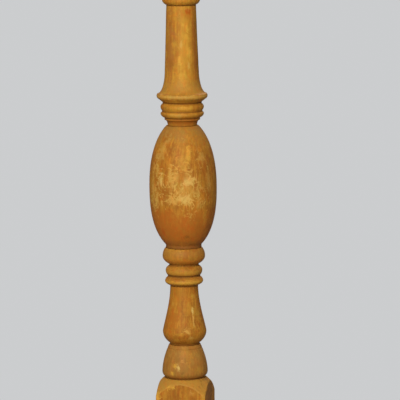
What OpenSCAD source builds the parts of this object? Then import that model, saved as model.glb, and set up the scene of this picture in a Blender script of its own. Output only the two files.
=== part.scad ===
// Turned wooden candlestick: a stem of glued sections on a moulded square plinth with bun feet,
// topped by a brass candle cup that lifts out of its wooden nozzle. Millimetres, +Z up, standing on z = 0.

/* [Joinery] */
// Diameter of the round spigots that join the stem
spigot_d = 20; // [16:0.5:22]
// Length of a stem spigot inside the piece that holds it
spigot_grip = 30; // [20:1:34]
// Radial gap left for glue around a spigot
glue_gap = 0.1; // [0.05:0.05:0.25]
// Empty depth left at the bottom of a socket
glue_well = 1.5; // [0.5:0.5:3]

/* [Turning] */
// Width of the flat bottom of a turned groove
groove_w = 1.8; // [0.8:0.1:2.4]
// Angle at which a turned round rises out of its groove
round_lean = 40; // [20:1:60]

/* [Feet] */
// Diameter of a bun foot at its widest
foot_d = 38; // [32:1:42]
// Height of a bun foot
foot_h = 18; // [14:1:26]
// Height of the widest part of a bun foot above the floor
foot_belly_z = 8; // [5:1:11]
// Diameter of the flat that a bun foot stands on
foot_flat_d = 24; // [16:1:28]
// Diameter of a bun foot where it meets the plinth
foot_neck_d = 27; // [22:1:30]
// Distance from an edge of the plinth to the centre of a foot
foot_inset = 23; // [20:1:28]
// Diameter of the spigot on a foot
foot_spigot_d = 14; // [10:1:18]
// Length of the spigot on a foot
foot_spigot_l = 15; // [10:1:18]

/* [Plinth] */
// Width of the square plinth
plinth_w = 150; // [146:1:180]
// Thickness of the plinth
plinth_t = 26; // [23:1:34]
// Height of the straight lower edge of the plinth
plinth_edge_h = 13; // [8:1:18]
// Width of the small step above the straight edge
plinth_step = 2.5; // [1:0.5:5]
// Width of the rounded upper edge of the plinth
plinth_round_w = 11; // [6:1:15]

/* [Base moulding] */
// Width of the square moulding on the plinth
moulding_w = 106; // [98:1:114]
// Thickness of the moulding
moulding_t = 20; // [16:1:28]
// Height of the straight lower edge of the moulding
moulding_edge_h = 5; // [3:0.5:8]
// Width of the small step above the straight edge
moulding_step = 2; // [1:0.5:4]
// Width of the flat top that carries the block
moulding_top_w = 72; // [66:1:80]
// Height of the straight lip under the flat top
moulding_lip_h = 3; // [1.5:0.5:5]

/* [Block] */
// Width of the square block
block_w = 60; // [56:0.5:65]
// Height of the block
block_h = 74; // [62:1:100]
// Diameter of the flat land on top of the block
land_d = 51; // [50:0.5:54]
// Depth of the turned shoulder at the corners of the block
shoulder_drop = 21; // [12:0.5:26]
// Fullness of the turned shoulder between the land and a corner
shoulder_bulge = 1.2; // [0:0.1:2.5]
// Diameter of the tenon under the block
tenon_d = 30; // [24:1:36]

/* [Tenon wedge] */
// Length of the wedge driven into the tenon
wedge_l = 24; // [16:1:30]
// Thickness of the wedge at its driven end
wedge_thick = 5; // [3:0.5:7]
// Thickness of the wedge at its leading end
wedge_thin = 1.5; // [0.8:0.1:2.5]

/* [Base screws] */
// Diameter of a screw shank
screw_d = 4; // [3:0.5:6]
// Diameter of a screw head
screw_head_d = 8; // [7:0.5:10]
// Length of a screw inside the moulding
screw_bite = 8; // [5:0.5:12]
// Length of the pointed end of a screw
screw_point_l = 6; // [3:0.5:8]
// Width of the slot in a screw head
screw_slot_w = 1.2; // [0.8:0.1:1.6]
// Depth of the slot in a screw head
screw_slot_t = 1.1; // [0.6:0.1:1.5]
// Distance from an edge of the moulding to the centre of a screw
screw_inset = 19; // [17:1:23]
// Radial gap around a screw
screw_gap = 0.1; // [0.05:0.05:0.3]

/* [Bell] */
// Height of the bell
bell_h = 39.9; // [32:0.1:50]
// Diameter of the bell at its widest
bell_d = 54.2; // [51:0.1:60]
// Height of the widest part of the bell
bell_belly_z = 7.5; // [4:0.5:12]
// Diameter of the bell where it meets the block
bell_foot_d = 47; // [44:0.5:49]
// Diameter of the bell at its top
bell_top_d = 37.6; // [36.8:0.1:44]
// Strength of the curve of the bell
bell_curve = 1.75; // [1.4:0.05:2.4]
// Distance of the line scribed around the bell from its top
scribe_drop = 4.2; // [3:0.1:9]
// Depth of the scribed line
scribe_depth = 0.5; // [0.4:0.1:1]

/* [Baluster] */
// Height of the baluster
baluster_h = 70.1; // [56:0.1:84]
// Diameter of the baluster at its belly
baluster_d = 52; // [46:0.1:58]
// Height of the belly of the baluster
baluster_belly_z = 16; // [10:0.5:26]
// Diameter of the baluster where it meets the bell
baluster_foot_d = 35.6; // [32:0.1:36.8]
// Diameter of the baluster at its neck
baluster_neck_d = 33.3; // [30:0.1:35]
// Strength of the sweep from the belly to the neck
baluster_sweep = 1.85; // [1.2:0.05:2.2]
// How gently the sweep leaves the belly
baluster_ease = 1.2; // [1:0.05:1.5]

/* [Lower collar] */
// Diameter of the lower ring
lower_ring_d = 45.4; // [42:0.1:50]
// Height of the lower ring
lower_ring_h = 12.1; // [9:0.1:17]
// Diameter of the groove between the two rings
lower_groove_d = 38.8; // [36:0.1:41]
// Diameter of the middle ring
middle_ring_d = 43.7; // [42:0.1:48]
// Height of the middle ring
middle_ring_h = 13.4; // [9:0.1:16]
// Diameter of the groove between the middle ring and the bead
bead_groove_d = 35.2; // [33:0.1:38]
// Diameter of the large bead under the bulb
bead_d = 50.6; // [47:0.1:56]
// Height of the large bead
bead_h = 20.5; // [15:0.1:26]
// Diameter of the large bead where it meets the bulb
bead_top_d = 43.4; // [42.6:0.1:46.5]

/* [Bulb] */
// Diameter of the bulb at its belly
bulb_d = 80; // [66:0.5:96]
// Height of the bulb
bulb_h = 145.2; // [120:0.1:180]
// Height of the belly of the bulb
bulb_belly_z = 72.8; // [56:0.1:92]
// Diameter of the bulb at its foot
bulb_foot_d = 42.4; // [38:0.1:42.5]
// Diameter of the bulb at its top
bulb_top_d = 38.2; // [35.6:0.1:42]
// Height of the straight fillet at the foot of the bulb
bulb_fillet_h = 3.6; // [1:0.1:5]
// Fullness of the bulb below its belly, where 2 is a true ellipse
bulb_foot_fullness = 2.5; // [1.8:0.05:2.8]
// Fullness of the bulb above its belly, where 2 is a true ellipse
bulb_top_fullness = 2.2; // [1.8:0.05:2.6]

/* [Upper collar] */
// Diameter of the hollow neck on the bulb
neck_d = 34.8; // [32:0.1:35.5]
// Height of the neck
neck_h = 6.7; // [1:0.1:9]
// Diameter of the fillet over the neck
fillet_d = 42; // [37:0.1:45]
// Height of the fillet
fillet_h = 2.4; // [1.5:0.1:4]
// Diameter of the two rings
ring_d = 51.4; // [48:0.1:56]
// Height of the ring over the fillet
under_ring_h = 8.1; // [7:0.1:13]
// Height of the ring under the column
over_ring_h = 9.7; // [7:0.1:13]
// Diameter of the groove between the two rings
ring_groove_d = 48; // [44:0.1:48]
// Diameter of the groove under the column
collar_top_d = 46.4; // [44:0.1:47.5]

/* [Column] */
// Height of the column
column_h = 115.3; // [96:0.1:150]
// Diameter of the column at its top
column_top_d = 35.4; // [32:0.1:40]
// Diameter of the column where its flare begins
column_waist_d = 40.4; // [38:0.1:46]
// Strength of the sweep of the column
column_sweep = 1.15; // [1.1:0.05:2]
// Diameter of the flared rim
rim_d = 60.4; // [54:0.1:68]
// Height of the slope under the rim
rim_slope_h = 5.6; // [4:0.1:10]
// Height of the rounded edge of the rim
rim_h = 5.4; // [3:0.1:8]
// Depth of the rounding on the edge of the rim
rim_round = 1; // [0.6:0.1:2]
// Height of the flare over the rim
flare_h = 27.7; // [18:0.1:32]

/* [Nozzle] */
// Height of the nozzle
nozzle_h = 64; // [58:1:80]
// Diameter of the bead at the foot of the nozzle
nozzle_bead_d = 45; // [41:0.1:50]
// Height of that bead
nozzle_bead_h = 12; // [8:0.5:15]
// Diameter of the cap over the bead
nozzle_cap_d = 36; // [34:0.5:40]
// Height of the cap over the bead
nozzle_cap_h = 2; // [1:0.5:3]
// Diameter of the nozzle at its neck
nozzle_neck_d = 30; // [28:0.5:33]
// Height of the neck above the foot of the nozzle
nozzle_neck_z = 21; // [19:0.5:24]
// Diameter of the bowl of the nozzle
bowl_d = 47; // [42:0.5:52]
// Height of the widest part of the bowl
bowl_z = 42; // [36:0.5:48]
// Diameter of the lip that carries the candle cup
lip_d = 58; // [54:0.5:64]
// Height of the straight edge of the lip
lip_h = 5; // [3:0.5:7]
// Length of the column's spigot inside the nozzle
nozzle_grip = 20; // [12:1:24]

/* [Candle cup] */
// Diameter of the candle that the cup takes
candle_d = 22; // [18:0.5:24]
// Radial gap around the candle
candle_gap = 0.25; // [0.1:0.05:0.45]
// Thickness of the sheet brass
sheet_t = 0.8; // [0.5:0.1:1.5]
// Depth of the socket that holds the candle
socket_depth = 34; // [26:1:38]
// Height of the socket's mouth above the seat of the drip pan
socket_stand = 13; // [11:1:18]
// Diameter of the beaded edge around the socket's mouth
socket_bead_d = 2.2; // [1.8:0.1:3]
// Diameter of the drip pan
pan_d = 84; // [74:1:110]
// Diameter of the flat middle of the drip pan
pan_flat_d = 60; // [56:0.5:68]
// Depth of the drip pan
pan_depth = 8; // [5:0.5:9]
// Diameter of the rolled edge of the drip pan
pan_roll_d = 2.8; // [2:0.1:4]
// Gap filled with solder between the pan and the socket tube
solder_gap = 0.05; // [0.02:0.01:0.1]
// Radial gap around the cup in the nozzle
cup_gap = 0.35; // [0.3:0.05:0.6]

/* [Hidden] */
$fn = 96;

// Number of straight steps in a quarter round and in a long sweep
quarter_steps = 10;
sweep_steps = 32;
// How far a cut runs past the face that it opens, and a spigot into the piece that it grows from
overcut = 1;
// Share of its height at which the ring over the fillet has its crown
steep_crown = 0.65;

golden_wood = [0.72, 0.50, 0.22];
orange_wood = [0.69, 0.44, 0.17];
brown_wood = [0.58, 0.40, 0.20];
aged_brass = [0.71, 0.57, 0.30];
dark_iron = [0.30, 0.29, 0.28];

// Heights at which the pieces sit on each other
lower_collar_h = lower_ring_h + middle_ring_h + bead_h;
upper_collar_h = neck_h + fillet_h + under_ring_h + over_ring_h;
plinth_z = foot_h;
moulding_z = plinth_z + plinth_t;
block_z = moulding_z + moulding_t;
bell_z = block_z + block_h;
baluster_z = bell_z + bell_h;
lower_collar_z = baluster_z + baluster_h;
bulb_z = lower_collar_z + lower_collar_h;
upper_collar_z = bulb_z + bulb_h;
column_z = upper_collar_z + upper_collar_h;
nozzle_z = column_z + column_h;
cup_z = nozzle_z + nozzle_h;

// Sizes that follow from the candle and the tenon
socket_r = candle_d / 2 + candle_gap;
tube_r = socket_r + sheet_t;
tube_drop = socket_depth - socket_stand;
tenon_l = moulding_t + plinth_t;
screw_l = plinth_t + screw_bite;
socket_l = spigot_grip + glue_well;

// Distances between neighbouring feet and between neighbouring screws
foot_pitch = plinth_w - 2 * foot_inset;
screw_pitch = moulding_w - 2 * screw_inset;

// Points of a quarter round after p, up to q: it leaves p level and reaches q upright, or the other way round
function level_quarter(p, q) = [
  for (i = [1:quarter_steps])
    let (a = 90 * i / quarter_steps)
    [p.x + (q.x - p.x) * sin(a), p.y + (q.y - p.y) * (1 - cos(a))]
];
function upright_quarter(p, q) = [
  for (i = [1:quarter_steps])
    let (a = 90 * i / quarter_steps)
    [p.x + (q.x - p.x) * (1 - cos(a)), p.y + (q.y - p.y) * sin(a)]
];

// Point at angle a of a round that leaves its groove p at the lean and stands upright at its crown c
function round_point(p, c, a) = [
  p.x + (c.x - p.x) * (sin(a) - sin(round_lean)) / (1 - sin(round_lean)),
  p.y + (c.y - p.y) * (cos(round_lean) - cos(a)) / cos(round_lean)
];

// Points of a round after its groove p, up to its crown c, and of one after its crown c, up to its groove q
function rise(p, c) = [
  for (i = [1:quarter_steps])
    round_point(p, c, round_lean + (90 - round_lean) * i / quarter_steps)
];
function fall(c, q) = [
  for (i = [1:quarter_steps])
    round_point(q, c, 90 - (90 - round_lean) * i / quarter_steps)
];

// Points of a rounded ring after its lower groove p, over its crown c, up to its upper groove q
function ring(p, c, q) = concat(rise(p, c), fall(c, q));

// Lower and upper edge of the flat bottom of a groove of radius r at height z
function groove_foot(r, z) = [r, z - groove_w / 2];
function groove_top(r, z) = [r, z + groove_w / 2];

// Points of a sweep after p, up to q: it leaves p slanting, or upright if its ease is above 1,
// and settles upright at q
function sweep(p, q, strength, ease = 1) = [
  for (i = [1:sweep_steps])
    let (t = i / sweep_steps)
    [q.x + (p.x - q.x) * pow(1 - pow(t, ease), strength), p.y + (q.y - p.y) * t]
];

// Solid turned from an outline of [radius, height] points, bottom to top
module turned(outline) {
  rotate_extrude()
    polygon(concat([[0, outline[0].y]], outline, [[0, outline[len(outline) - 1].y]]));
}

// Square board whose four edges follow an outline of [half width, height] points, bottom to top
module moulded_board(outline, width) {
  last = len(outline) - 1;
  whole = concat(outline, [for (i = [last:-1:0]) [-outline[i].x, outline[i].y]]);
  intersection() {
    rotate([90, 0, 0])
      linear_extrude(width + 2 * overcut, center = true)
        polygon(whole);
    rotate([90, 0, 90])
      linear_extrude(width + 2 * overcut, center = true)
        polygon(whole);
  }
}

// Spigot of length l that grows out of a face, and the bore of depth l that takes one
module spigot(d, l) {
  translate([0, 0, -overcut])
    cylinder(d = d, h = l + overcut);
}
module spigot_bore(d, l) {
  translate([0, 0, -overcut])
    cylinder(d = d + 2 * glue_gap, h = l + overcut);
}

// Places children at the four corners of a square of the given pitch
module at_corners(pitch) {
  for (x = [-1, 1], y = [-1, 1])
    translate([x * pitch / 2, y * pitch / 2, 0])
      children();
}

// Candle cup: a spun pan, the tube that is soldered through it and the floor that closes the tube
module drip_pan() {
  flat_r = pan_flat_d / 2;
  edge_r = pan_d / 2 - pan_roll_d / 2;
  hole_r = tube_r + solder_gap;
  under = level_quarter([flat_r, 0], [edge_r + sheet_t / 2, pan_depth]);
  inside = level_quarter([flat_r, sheet_t], [edge_r - sheet_t / 2, pan_depth]);
  last = len(inside) - 1;
  color(aged_brass)
    translate([0, 0, cup_z])
      rotate_extrude() {
        polygon(concat(
          [[hole_r, 0], [flat_r, 0]],
          under,
          [for (i = [last:-1:0]) inside[i]],
          [[flat_r, sheet_t], [hole_r, sheet_t]]
        ));
        translate([edge_r, pan_depth])
          circle(d = pan_roll_d);
      }
}

module socket_tube() {
  mouth_z = cup_z + socket_stand;
  color(aged_brass) {
    translate([0, 0, mouth_z - socket_depth])
      difference() {
        cylinder(r = tube_r, h = socket_depth);
        translate([0, 0, -overcut])
          cylinder(r = socket_r, h = socket_depth + 2 * overcut);
      }
    translate([0, 0, mouth_z - socket_bead_d / 2])
      rotate_extrude()
        difference() {
          translate([tube_r, 0])
            circle(d = socket_bead_d);
          translate([0, -socket_bead_d])
            square([socket_r + sheet_t / 2, 2 * socket_bead_d]);
        }
  }
}

module socket_floor() {
  color(aged_brass)
    translate([0, 0, cup_z - tube_drop - sheet_t])
      cylinder(r = tube_r, h = sheet_t);
}

// Stem, from the top down
module nozzle() {
  foot = [column_top_d / 2, 0];
  crown = [nozzle_bead_d / 2, nozzle_bead_h / 2];
  cap = [nozzle_cap_d / 2, nozzle_bead_h];
  cap_top = [cap.x, cap.y + nozzle_cap_h];
  neck = [nozzle_neck_d / 2, nozzle_neck_z];
  bowl = [bowl_d / 2, bowl_z];
  lip = [lip_d / 2, nozzle_h - lip_h];
  bore_depth = tube_drop + sheet_t + glue_well;
  color(golden_wood)
    translate([0, 0, nozzle_z])
      difference() {
        turned(concat(
          [foot],
          ring(foot, crown, cap),
          [cap_top],
          level_quarter(cap_top, neck),
          level_quarter(neck, bowl),
          upright_quarter(bowl, lip),
          [[lip.x, nozzle_h]]
        ));
        spigot_bore(spigot_d, nozzle_grip + glue_well);
        translate([0, 0, nozzle_h - bore_depth])
          cylinder(r = tube_r + cup_gap, h = bore_depth + overcut);
      }
}

module column() {
  foot_r = collar_top_d / 2;
  rim_in = rim_d / 2 - rim_round;
  rim_foot = [rim_in, rim_slope_h];
  rim_crown = [rim_d / 2, rim_slope_h + rim_h / 2];
  rim_top = [rim_in, rim_slope_h + rim_h];
  waist = [column_waist_d / 2, rim_top.y + flare_h];
  color(golden_wood)
    translate([0, 0, column_z]) {
      turned(concat(
        [[foot_r, 0], groove_top(foot_r, 0), rim_foot],
        ring(rim_foot, rim_crown, rim_top),
        level_quarter(rim_top, waist),
        sweep(waist, [column_top_d / 2, column_h], column_sweep)
      ));
      translate([0, 0, column_h])
        spigot(spigot_d, nozzle_grip);
      mirror([0, 0, 1])
        spigot(spigot_d, upper_collar_h + spigot_grip);
    }
}

module upper_collar() {
  neck_r = neck_d / 2;
  fillet_r = fillet_d / 2;
  ring_r = ring_d / 2;
  groove_r = ring_groove_d / 2;
  top_r = collar_top_d / 2;
  fillet_top = [fillet_r, neck_h + fillet_h];
  groove_z = fillet_top.y + under_ring_h;
  under_crown = [ring_r, fillet_top.y + under_ring_h * steep_crown];
  over_crown = [ring_r, groove_z + over_ring_h / 2];
  color(golden_wood)
    translate([0, 0, upper_collar_z])
      difference() {
        turned(concat(
          [[neck_r, 0]],
          upright_quarter([neck_r, 0], [fillet_r, neck_h]),
          [fillet_top],
          ring(fillet_top, under_crown, groove_foot(groove_r, groove_z)),
          [groove_top(groove_r, groove_z)],
          ring(groove_top(groove_r, groove_z), over_crown, groove_foot(top_r, upper_collar_h)),
          [[top_r, upper_collar_h]]
        ));
        spigot_bore(spigot_d, upper_collar_h + overcut);
      }
}

module bulb() {
  // Half height of the full curve whose cut end has the radius given by end_d
  function half_height(rise, end_d, fullness) = rise / pow(1 - pow(end_d / bulb_d, 2), 1 / fullness);
  foot_half = half_height(bulb_belly_z - bulb_fillet_h, bulb_foot_d, bulb_foot_fullness);
  top_half = half_height(bulb_h - bulb_belly_z, bulb_top_d, bulb_top_fullness);
  outline = [
    for (i = [0:2 * sweep_steps])
      let (z = bulb_fillet_h + (bulb_h - bulb_fillet_h) * i / (2 * sweep_steps))
      let (rise = z - bulb_belly_z)
      let (share = abs(rise) / (rise < 0 ? foot_half : top_half))
      let (fullness = rise < 0 ? bulb_foot_fullness : bulb_top_fullness)
      [bulb_d / 2 * sqrt(1 - pow(share, fullness)), z]
  ];
  color(orange_wood)
    translate([0, 0, bulb_z])
      difference() {
        turned(concat([[bulb_foot_d / 2, 0]], outline));
        spigot_bore(spigot_d, socket_l);
        translate([0, 0, bulb_h])
          mirror([0, 0, 1])
            spigot_bore(spigot_d, socket_l);
      }
}

module lower_collar() {
  foot_r = baluster_neck_d / 2;
  ring_groove_r = lower_groove_d / 2;
  bead_groove_r = bead_groove_d / 2;
  bead_groove_z = lower_ring_h + middle_ring_h;
  lower_crown = [lower_ring_d / 2, lower_ring_h / 2];
  middle_crown = [middle_ring_d / 2, lower_ring_h + middle_ring_h / 2];
  bead_crown = [bead_d / 2, bead_groove_z + bead_h / 2];
  color(orange_wood)
    translate([0, 0, lower_collar_z])
      difference() {
        turned(concat(
          [[foot_r, 0], groove_top(foot_r, 0)],
          ring(groove_top(foot_r, 0), lower_crown, groove_foot(ring_groove_r, lower_ring_h)),
          [groove_top(ring_groove_r, lower_ring_h)],
          ring(
            groove_top(ring_groove_r, lower_ring_h),
            middle_crown,
            groove_foot(bead_groove_r, bead_groove_z)
          ),
          [groove_top(bead_groove_r, bead_groove_z)],
          ring(
            groove_top(bead_groove_r, bead_groove_z),
            bead_crown,
            [bead_top_d / 2, lower_collar_h]
          )
        ));
        spigot_bore(spigot_d, lower_collar_h + overcut);
      }
}

module baluster() {
  foot = [baluster_foot_d / 2, 0];
  fillet = [foot.x, groove_w];
  belly = [baluster_d / 2, baluster_belly_z];
  color(orange_wood)
    translate([0, 0, baluster_z]) {
      turned(concat(
        [foot, fillet],
        rise(fillet, belly),
        sweep(belly, [baluster_neck_d / 2, baluster_h], baluster_sweep, baluster_ease)
      ));
      translate([0, 0, baluster_h])
        spigot(spigot_d, lower_collar_h + spigot_grip);
      mirror([0, 0, 1])
        spigot(spigot_d, bell_h + spigot_grip);
    }
}

module bell() {
  foot = [bell_foot_d / 2, 0];
  belly = [bell_d / 2, bell_belly_z];
  // Radius of the dome at a share t of its height
  function dome_r(t) = belly.x + (bell_top_d / 2 - belly.x) * pow(t, bell_curve);
  dome = [
    for (i = [1:sweep_steps])
      let (t = i / sweep_steps)
      [dome_r(t), belly.y + (bell_h - belly.y) * t]
  ];
  scribe_z = bell_h - scribe_drop;
  scribe_r = dome_r((scribe_z - belly.y) / (bell_h - belly.y)) - scribe_depth;
  scribe_reach = scribe_depth + overcut;
  color(brown_wood)
    translate([0, 0, bell_z])
      difference() {
        turned(concat([foot, groove_top(foot.x, 0)], rise(groove_top(foot.x, 0), belly), dome));
        spigot_bore(spigot_d, bell_h + overcut);
        translate([0, 0, scribe_z])
          rotate_extrude()
            polygon([
              [scribe_r, 0],
              [scribe_r + scribe_reach, -scribe_reach],
              [scribe_r + scribe_reach, scribe_reach]
            ]);
      }
}

module block() {
  corner_r = block_w / sqrt(2) + overcut;
  shoulder = [
    for (i = [0:quarter_steps])
      let (t = 1 - i / quarter_steps)
      [
        land_d / 2 + (corner_r - land_d / 2) * t,
        block_h - shoulder_drop * t + 4 * shoulder_bulge * t * (1 - t)
      ]
  ];
  color(golden_wood)
    translate([0, 0, block_z])
      difference() {
        union() {
          intersection() {
            translate([-block_w / 2, -block_w / 2, 0])
              cube([block_w, block_w, block_h]);
            turned(concat([[corner_r, -overcut]], shoulder));
          }
          mirror([0, 0, 1])
            spigot(tenon_d, tenon_l);
        }
        translate([0, 0, block_h])
          mirror([0, 0, 1])
            spigot_bore(spigot_d, socket_l);
        translate([0, 0, -tenon_l])
          wedge_bar(tenon_d + 2 * overcut);
      }
}

// Tapered bar of the given width, thick end down, that splits and fills the end of the tenon
module wedge_bar(width) {
  rotate([90, 0, 0])
    linear_extrude(width, center = true)
      polygon([
        [-wedge_thick / 2, 0],
        [wedge_thick / 2, 0],
        [wedge_thin / 2, wedge_l],
        [-wedge_thin / 2, wedge_l]
      ]);
}

module tenon_wedge() {
  color(brown_wood)
    translate([0, 0, block_z - tenon_l])
      intersection() {
        wedge_bar(tenon_d);
        cylinder(d = tenon_d, h = wedge_l);
      }
}

// Base, from the top down
module base_moulding() {
  edge = [moulding_w / 2, moulding_edge_h];
  step = [edge.x - moulding_step, edge.y];
  lip = [moulding_top_w / 2, moulding_t - moulding_lip_h];
  color(brown_wood)
    translate([0, 0, moulding_z])
      difference() {
        moulded_board(concat(
          [[edge.x, 0], edge, step],
          level_quarter(step, lip),
          [[lip.x, moulding_t]]
        ), moulding_w);
        spigot_bore(tenon_d, moulding_t + overcut);
        translate([0, 0, -plinth_t])
          at_corners(screw_pitch)
            screw_body(screw_gap);
      }
}

// Countersunk wood screw pointing up from z = 0, grown all round by gap
module screw_body(gap) {
  shank_r = screw_d / 2 + gap;
  head_r = screw_head_d / 2 + gap;
  head_h = head_r - shank_r;
  rotate_extrude()
    polygon([
      [0, 0],
      [head_r, 0],
      [shank_r, head_h],
      [shank_r, screw_l - screw_point_l],
      [gap, screw_l + gap],
      [0, screw_l + gap]
    ]);
}

module base_screws() {
  color(dark_iron)
    translate([0, 0, plinth_z])
      at_corners(screw_pitch)
        difference() {
          screw_body(0);
          translate([-screw_head_d / 2 - overcut, -screw_slot_w / 2, -overcut])
            cube([screw_head_d + 2 * overcut, screw_slot_w, screw_slot_t + overcut]);
        }
}

module plinth() {
  edge = [plinth_w / 2, plinth_edge_h];
  step = [edge.x - plinth_step, edge.y];
  color(golden_wood)
    translate([0, 0, plinth_z])
      difference() {
        moulded_board(concat(
          [[edge.x, 0], edge, step],
          upright_quarter(step, [step.x - plinth_round_w, plinth_t])
        ), plinth_w);
        spigot_bore(tenon_d, plinth_t + overcut);
        at_corners(foot_pitch)
          spigot_bore(foot_spigot_d, foot_spigot_l + glue_well);
        at_corners(screw_pitch)
          screw_body(screw_gap);
      }
}

module foot(side_x, side_y) {
  flat = [foot_flat_d / 2, 0];
  belly = [foot_d / 2, foot_belly_z];
  neck = [foot_neck_d / 2, foot_h];
  color(brown_wood)
    translate([side_x * foot_pitch / 2, side_y * foot_pitch / 2, 0]) {
      turned(concat([flat], ring(flat, belly, neck)));
      translate([0, 0, foot_h])
        spigot(foot_spigot_d, foot_spigot_l);
    }
}

drip_pan();
socket_tube();
socket_floor();
nozzle();
column();
upper_collar();
bulb();
lower_collar();
baluster();
bell();
block();
tenon_wedge();
base_moulding();
base_screws();
plinth();
foot(-1, -1);  // foot_front_left
foot(1, -1);  // foot_front_right
foot(-1, 1);  // foot_back_left
foot(1, 1);  // foot_back_right
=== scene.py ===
# %% [markdown]
# # A tall turned candlestick
# The object is an old wooden candlestick: a stem of turned sections on a square block, a moulded base on
# four bun feet, and a brass candle cup that lifts out at the top. The CAD model already holds every piece
# at full size. This lesson gives those pieces their wood, their brass and a long life of wear.

# %% Load the frame
import math
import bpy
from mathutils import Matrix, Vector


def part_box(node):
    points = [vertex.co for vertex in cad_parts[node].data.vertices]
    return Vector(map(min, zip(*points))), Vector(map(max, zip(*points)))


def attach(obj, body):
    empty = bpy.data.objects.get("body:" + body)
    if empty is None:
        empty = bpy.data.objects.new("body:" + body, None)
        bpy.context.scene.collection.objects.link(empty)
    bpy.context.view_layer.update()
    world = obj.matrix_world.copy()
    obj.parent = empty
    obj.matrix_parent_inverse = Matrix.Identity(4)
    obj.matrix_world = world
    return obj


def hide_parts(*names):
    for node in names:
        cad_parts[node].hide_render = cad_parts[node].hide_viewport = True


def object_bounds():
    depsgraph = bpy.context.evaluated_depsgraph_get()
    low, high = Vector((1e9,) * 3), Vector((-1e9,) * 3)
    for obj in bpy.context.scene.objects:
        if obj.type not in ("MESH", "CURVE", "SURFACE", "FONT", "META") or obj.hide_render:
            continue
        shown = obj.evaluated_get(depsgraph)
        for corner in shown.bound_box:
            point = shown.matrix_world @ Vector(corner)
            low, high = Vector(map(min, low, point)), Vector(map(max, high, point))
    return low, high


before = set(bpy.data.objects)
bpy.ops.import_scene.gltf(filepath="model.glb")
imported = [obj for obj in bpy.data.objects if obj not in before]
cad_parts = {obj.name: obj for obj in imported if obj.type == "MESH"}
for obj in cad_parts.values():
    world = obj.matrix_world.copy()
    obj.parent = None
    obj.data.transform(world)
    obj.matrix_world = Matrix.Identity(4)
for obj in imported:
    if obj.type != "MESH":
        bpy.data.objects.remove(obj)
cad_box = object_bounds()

from types import SimpleNamespace

import bmesh
import bpy
import numpy as np
from mathutils import Quaternion, Vector

scene = bpy.context.scene
scene.view_settings.view_transform = "Standard"
MM = 0.001
print("CAD box in mm:", [[round(c / MM, 1) for c in corner] for corner in cad_box])

# %% [markdown]
# ## The camera
# The photograph was taken from far away with a long lens, a little above the stem and a little to its
# right: the flat tops of the rings show as thin ellipses, and one side of the square block shows beside
# its front. A camera at 4 m with the matching lens gives the same flat perspective. It looks past the
# stem on the right, because the stem stands left of the middle, and it is rolled by about half a degree.

# %% Camera
CAMERA_AZIMUTH = math.radians(11.5)
CAMERA_ELEVATION = math.radians(7.5)
CAMERA_DISTANCE = 4.0
CAMERA_ROLL = math.radians(-0.6)
PHOTO_WIDTH_PX = 400
FOCAL_PX = 3381
FILM_WIDTH = 36.0
LOOK_HEIGHT = 349.85 * MM
LOOK_ASIDE = 19.85 * MM


def direction(azimuth, elevation):
    """Unit vector from the stem towards an azimuth (0 is the front, -Y) and an elevation."""
    level = math.cos(elevation)
    return Vector((math.sin(azimuth) * level, -math.cos(azimuth) * level, math.sin(elevation)))


def linked(name, data):
    """A new object in the scene with a mesh, a lamp or a camera in it."""
    made = bpy.data.objects.new(name, data)
    scene.collection.objects.link(made)
    return made


towards_camera = direction(CAMERA_AZIMUTH, CAMERA_ELEVATION)
camera_right = direction(CAMERA_AZIMUTH + math.pi / 2, 0)
look_at = Vector((0, 0, LOOK_HEIGHT)) + LOOK_ASIDE * camera_right

camera = linked("camera", bpy.data.cameras.new("camera"))
camera.data.sensor_width = FILM_WIDTH
camera.data.lens = FILM_WIDTH * FOCAL_PX / PHOTO_WIDTH_PX
camera.location = look_at + CAMERA_DISTANCE * towards_camera
aim = towards_camera.to_track_quat("Z", "Y") @ Quaternion((0, 0, 1), CAMERA_ROLL)
camera.rotation_euler = aim.to_euler()
scene.camera = camera
print("Camera lens in mm:", round(camera.data.lens, 1))

# %% [markdown]
# ## Node trees as plain arithmetic
# Materials and Geometry Nodes are both node trees. Wiring them by hand is long, so a small `Wire` wraps an
# output socket and turns `a * b + 1` into Math nodes, and a `Bench` adds any other node in one call.

# %% Wire and Bench
class Wire:
    """One output of a node. Arithmetic on it adds Math nodes to the same tree."""

    def __init__(self, bench, socket):
        self.bench = bench
        self.socket = socket

    def output(self, name):
        """Another output of the same node."""
        return Wire(self.bench, self.socket.node.outputs[name])

    def __add__(self, other):
        return self.bench.maths("ADD", self, other)

    def __radd__(self, other):
        return self.bench.maths("ADD", other, self)

    def __sub__(self, other):
        return self.bench.maths("SUBTRACT", self, other)

    def __rsub__(self, other):
        return self.bench.maths("SUBTRACT", other, self)

    def __mul__(self, other):
        return self.bench.maths("MULTIPLY", self, other)

    def __rmul__(self, other):
        return self.bench.maths("MULTIPLY", other, self)

    def __truediv__(self, other):
        return self.bench.maths("DIVIDE", self, other)

    def __neg__(self):
        return self.bench.maths("MULTIPLY", self, -1)


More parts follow.
